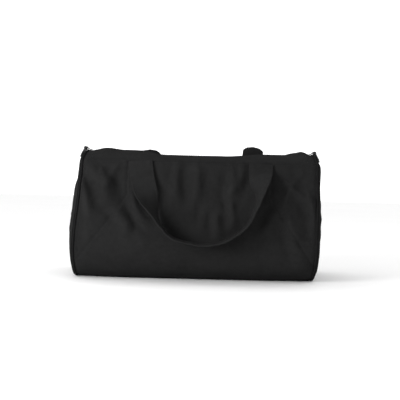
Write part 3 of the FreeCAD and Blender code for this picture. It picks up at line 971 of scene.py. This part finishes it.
def wall_reach(x, z, face):
    """How far the wall stands from the middle plane at a height."""
    height = min(max(z, 4 * MM), SEAM_Z - 0.5 * MM)
    return abs(float(wall(x, s_at(height), face)[1]))


def catmull_rom(stations, steps):
    """A smooth line through stations, each a row of numbers."""
    rows = np.asarray(stations, float)
    rows = np.concatenate([[2 * rows[0] - rows[1]], rows, [2 * rows[-1] - rows[-2]]])
    line = []
    for k in range(1, len(rows) - 2):
        before, start, end, after = rows[k - 1 : k + 3]
        linear = end - before
        square = 2 * before - 5 * start + 4 * end - after
        cube = 3 * start - before - 3 * end + after
        for t in np.linspace(0, 1, steps, endpoint=False):
            line.append(start + 0.5 * (linear * t + square * t**2 + cube * t**3))
    line.append(rows[-2])
    return np.array(line)


def strap_section(sides=28):
    """Outline of the folded strap: across it from -1 to 1, and its thickness from -1 to 1."""
    turn = np.arange(sides) * math.tau / sides
    across = np.sign(np.cos(turn)) * np.abs(np.cos(turn)) ** 0.35
    thick = np.sign(np.sin(turn)) * np.abs(np.sin(turn)) ** 0.55
    groove = 1 - 0.32 * np.exp(-(((np.abs(across) - 0.82) / 0.05) ** 2))
    return across, thick * groove


RING_SPACING = 2.6 * MM
STITCH_ROW = 0.82


def strap_line(stations, face):
    """Evenly spaced places along the strap's middle, and how far it's twisted at each.

    The twist is 0 where the strap lies flat on the wall and a quarter turn where it stands
    out from it, with its outer edge forward.
    """
    placed = []
    for x, y, z, twist, gap in stations:
        if y is None:
            standing = STRAP_HALF * math.sin(math.radians(twist))
            y = face * (wall_reach(x * MM, z * MM, face) + gap * MM + standing) / MM
        placed.append((x, y, z, twist))
    line = catmull_rom(placed, 12)
    steps = np.linalg.norm(np.diff(line[:, :3], axis=0), axis=1)
    reach = np.concatenate([[0], np.cumsum(steps)])
    even = np.linspace(0, reach[-1], int(reach[-1] * MM / RING_SPACING))
    line = np.stack([np.interp(even, reach, line[:, k]) for k in range(4)], axis=-1)
    return line[:, :3] * MM, np.radians(line[:, 3])


def strap_rings(stations, face):
    """The strap's cross sections, and for each one its four stitches: place and normal."""
    path, twist = strap_line(stations, face)
    forward = np.gradient(path, axis=0)
    forward /= np.linalg.norm(forward, axis=1)[:, None]
    out = np.array((0.0, face, 0.0))
    across, thick = strap_section()
    rings, sewn = [], []
    wide = None
    for k, (place, ahead, turn) in enumerate(zip(path, forward, twist)):
        inward = np.cross(out, ahead)
        spread = np.linalg.norm(inward)
        # Where the strap turns over it runs along out, and keeps the width it had before.
        if spread > 0.5:
            wanted = math.cos(turn) * inward / spread - math.sin(turn) * out
            wide = -wanted if wide is not None and wide.dot(wanted) < 0 else wanted
        wide = wide - ahead * wide.dot(ahead)
        wide = wide / np.linalg.norm(wide)
        normal = np.cross(ahead, wide)
        distance = k * RING_SPACING
        cup = 0.9 * MM * math.sin(distance / (31 * MM) + face)
        wave = 0.35 * MM * math.sin(distance / (7 * MM))
        wave += 0.25 * MM * math.sin(distance / (3.1 * MM) + 2)
        half_width = STRAP_HALF * (1 + 0.012 * math.sin(distance / (11 * MM)))
        half_thickness = STRAP_THICKNESS / 2 * (1 + 0.12 * math.sin(distance / (5 * MM) + 1))
        # Only the back strap climbs this high: its edges sag where it turns over.
        turning = float(smooth(place[2], 229 * MM, 239 * MM)) * (face > 0)
        half_width *= 1 - 0.04 * turning
        sag = np.array((0, 0, -7 * MM)) * turning

        def at(u, height):
            bend = cup * (u * u - 0.4) + wave * u * u
            return place + wide * half_width * u + normal * (height + bend) + sag * abs(u) ** 2.5

        rings.append([at(u, half_thickness * v) for u, v in zip(across, thick)])
        raised = half_thickness * 0.66 + 0.1 * MM
        four = itertools.product((-STITCH_ROW, STITCH_ROW), (-1, 1))
        sewn.append([(at(u, sign * raised), sign * normal) for u, sign in four])
    return rings, sewn


def strap_piece(name, rings, sewn, replaced, place_piece):
    """One length of strap with its thread; place_piece places both."""
    sides = len(rings[0])
    points = [point for ring in rings for point in ring]
    faces = [(a, d, c, b) for a, b, c, d in grid_faces(len(rings), sides, closed_columns=True)]
    faces.append(tuple(range(sides)))
    faces.append(tuple(range(len(points) - sides, len(points)))[::-1])
    piece = new_piece(name, points, faces, "strap_fabric", None, replaced)
    place_piece(piece)
    points, faces = join_parts([stitches(*zip(*row)) for row in zip(*sewn)])
    place_piece(new_piece(name + "_stitching", points, faces, "strap_fabric", None, material="thread"))


# Millimetres and degrees: x, distance from the middle plane or None to follow the wall,
# height, twist and the gap to the wall.
FRONT_HANDLE = [
    (-106, -112, 213, 0, 0),
    (-105, None, 202, 0, 3),
    (-102, None, 185, 0, 5),
    (-97.5, None, 168, 10, 6.5),
    (-93, None, 153, 30, 6.5),
    (-86, None, 134, 58, 5),
    (-76, None, 115, 80, 4),
    (-65, None, 97, 88, 3),
    (-48, None, 80, 90, 3),
    (-22, None, 71, 90, 3),
    (8, None, 67, 90, 3),
    (32, None, 69, 90, 3),
    (54, None, 77, 90, 3),
    (76, None, 92, 90, 3),
    (91, None, 110, 88, 3),
    (100, None, 131, 86, 4),
    (106, None, 149, 80, 4.5),
    (109, None, 170, 57, 5),
    (109, None, 189, 22, 4.5),
    (110, None, 202, 4, 3),
    (111, -112, 213, 0, 0),
]
BACK_HANDLE = [
    (-102, 112.6, 212, 0, 0),
    (-102, 113.4, 221, 0, 0),
    (-102, 114.2, 231, 0, 0),
    (-102, 116.6, 238.5, 0, 0),
    (-102, 119.6, 234, 0, 0),
    (-101, 121.2, 222, 0, 0),
    (-98, 124.0, 205, 6, 0),
    (-92, None, 180, 22, 5),
    (-83, None, 150, 52, 5),
    (-70, None, 122, 76, 4),
    (-48, None, 99, 88, 3),
    (-18, None, 88, 90, 3),
    (18, None, 88, 90, 3),
    (48, None, 99, 88, 3),
    (70, None, 122, 76, 4),
    (84, None, 150, 52, 5),
    (95, None, 180, 22, 5),
    (103, 124.0, 205, 6, 0),
    (106, 121.2, 226, 0, 0),
    (107, 120.2, 241, 0, 0),
    (107.5, 116.6, 248, 0, 0),
    (107.5, 113.5, 240, 0, 0),
    (107.5, 113.2, 225, 0, 0),
    (107.5, 112.6, 212, 0, 0),
]


def make_front_handle():
    """The front strap and its thread, on the front wall."""
    rings, sewn = strap_rings(FRONT_HANDLE, -1)

    def hinged(piece):
        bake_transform(piece)

    strap_piece("handle_front_strap", rings, sewn, ("handle_front",), hinged)


def make_back_handle():
    """Its sewn ends stand above the top seam, and the strap turns over them and hangs down."""
    rings, sewn = strap_rings(BACK_HANDLE, 1)
    heights = [np.mean(ring, axis=0)[2] for ring in rings]
    middle = len(rings) // 2
    left = int(np.argmax(heights[:middle]))
    right = middle + int(np.argmax(heights[middle:]))

    def hinged(piece):
        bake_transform(piece)

    def fixed(piece):
        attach(piece, "bag")

    lengths = (
        ("handle_back_strap", slice(left, right + 1), "handle_back", hinged),
        ("handle_back_end_left", slice(left + 1), "handle_back_ends", fixed),
        ("handle_back_end_right", slice(right, None), "handle_back_ends", fixed),
    )
    for name, part, node, place_piece in lengths:
        strap_piece(name, rings[part], sewn[part], (node,), place_piece)


# ---------------- D-ring tabs

TAB_WIDTH = 20 * MM
TAB_THICKNESS = 1.3 * MM
RING_BAR = np.array((218 * MM, 236.5 * MM))
LOOP_RADIUS = 2.75 * MM


def make_tab(side):
    """A folded loop of webbing round the ring's bar, sewn down behind it."""
    word = WORDS[side][1]
    lower = [(206.5 * MM, 231.6 * MM), (210 * MM, 231.9 * MM), (213.5 * MM, 232.8 * MM)]
    turn = np.radians(np.linspace(-125, 115, 15))
    around = list(RING_BAR + LOOP_RADIUS * np.stack([np.cos(turn), np.sin(turn)], axis=-1))
    upper = [(213 * MM, 235.3 * MM), (210 * MM, 234.1 * MM), (206.5 * MM, 233.3 * MM)]
    path = lower + around + upper
    columns = 13
    points = []
    for index, (x, z) in enumerate(path):
        for k in range(columns):
            y = (k / (columns - 1) - 0.5) * TAB_WIDTH
            points.append((side * x, y, z + 0.12 * MM * math.sin(index * 1.1 + k)))
    faces = [face[::side] for face in grid_faces(len(path), columns)]
    piece = new_piece(f"d_ring_tab_{word}_webbing", points, faces, "webbing", body=None)
    thicken(piece, TAB_THICKNESS, offset=0)
    finish_piece(piece, "webbing", "bag", (f"d_ring_tab_{word}",))


# ---------------- carried-over metal


def paint_metal():
    """Enamel for the metal that is shown as the CAD made it."""
    for name in ("zip_slider", "zip_puller", "d_ring_left", "d_ring_right"):
        metal = "zip_metal" if name.startswith("zip") else "ring_metal"
        for slot in bpy.data.objects[name].material_slots:
            slot.material = MATERIALS[metal]


# ---------------- build

for each_face in (-1, 1):
    make_walls(each_face)
    wall_stitches(each_face)
make_bottom()
for each_side in (-1, 1):
    make_end(each_side)
    make_piping(each_side)
    make_binding(each_side)
    make_zip_end(each_side)
    make_tab(each_side)
    for each_face in (-1, 1):
        make_flap(each_face, each_side)
        make_zip_tape(each_face, each_side)
        make_coil(each_face, each_side)
make_front_handle()
make_back_handle()
paint_metal()


# ---------------- floor, light and camera


FLOOR_HALF = 6


def make_floor():
    """A floor far larger than the view."""
    points = [(x * FLOOR_HALF, y * FLOOR_HALF, 0) for x, y in ((-1, -1), (1, -1), (1, 1), (-1, 1))]
    mesh = bpy.data.meshes.new("floor")
    mesh.from_pydata(points, [], [(0, 1, 2, 3)])
    mesh.materials.append(MATERIALS["floor"])
    place_object("floor", mesh)


def area_light(name, place, aim, size, power):
    """A square soft light that points at aim."""
    light = bpy.data.lights.new(name, "AREA")
    light.shape = "RECTANGLE"
    light.size = size
    light.size_y = size
    light.energy = power
    lamp = place_object(name, light)
    lamp.location = place
    direction = Vector(aim) - Vector(place)
    lamp.rotation_euler = direction.to_track_quat("-Z", "Y").to_euler()


def make_lights():
    """A pale studio all round, two low lights from the left and a weak one from the right."""
    world = bpy.data.worlds.new("studio")
    world.use_nodes = True
    tree = world.node_tree
    coordinates = tree.nodes.new("ShaderNodeTexCoord")
    split = tree.nodes.new("ShaderNodeSeparateXYZ")
    tree.links.new(coordinates.outputs["Generated"], split.inputs[0])
    ramp = tree.nodes.new("ShaderNodeMapRange")
    # Darker behind the camera than behind the bag.
    for socket, value in (("From Min", -0.5), ("From Max", 0.5), ("To Min", 0.4), ("To Max", 1.5)):
        ramp.inputs[socket].default_value = value
    tree.links.new(split.outputs[1], ramp.inputs["Value"])
    tree.links.new(ramp.outputs[0], tree.nodes["Background"].inputs["Color"])
    bpy.context.scene.world = world
    area_light("key", (-1.5, -1.4, 0.7), (0, 0, 0.12), 0.8, 34)
    area_light("low", (-0.8, -1.4, 0.12), (-0.1, 0, 0.04), 0.5, 7)
    area_light("fill", (1.8, -1.6, 1.2), (0, 0, 0.12), 1.5, 4)


CAMERA_AIM = Vector((2 * MM, 0, 142 * MM))
CAMERA_TO_FRONT = 1.683
CAMERA_ELEVATION = math.radians(1.5)
CAMERA_ROLL = math.radians(1.4)


def make_camera():
    """Almost level with the bag's middle, and rolled a little."""
    data = bpy.data.cameras.new("camera")
    data.lens = 85
    data.sensor_width = 36
    camera = place_object("camera", data)
    distance = CAMERA_TO_FRONT - FRONT[0].y
    back, up = distance * math.cos(CAMERA_ELEVATION), distance * math.sin(CAMERA_ELEVATION)
    camera.location = CAMERA_AIM + Vector((0, -back, up))
    look = (CAMERA_AIM - camera.location).to_track_quat("-Z", "Y").to_matrix().to_4x4()
    roll = Matrix.Rotation(CAMERA_ROLL, 4, "Z")
    camera.matrix_world = Matrix.Translation(camera.location) @ look @ roll
    bpy.context.scene.camera = camera


make_floor()
make_lights()
make_camera()
bpy.context.scene.view_settings.view_transform = "Standard"
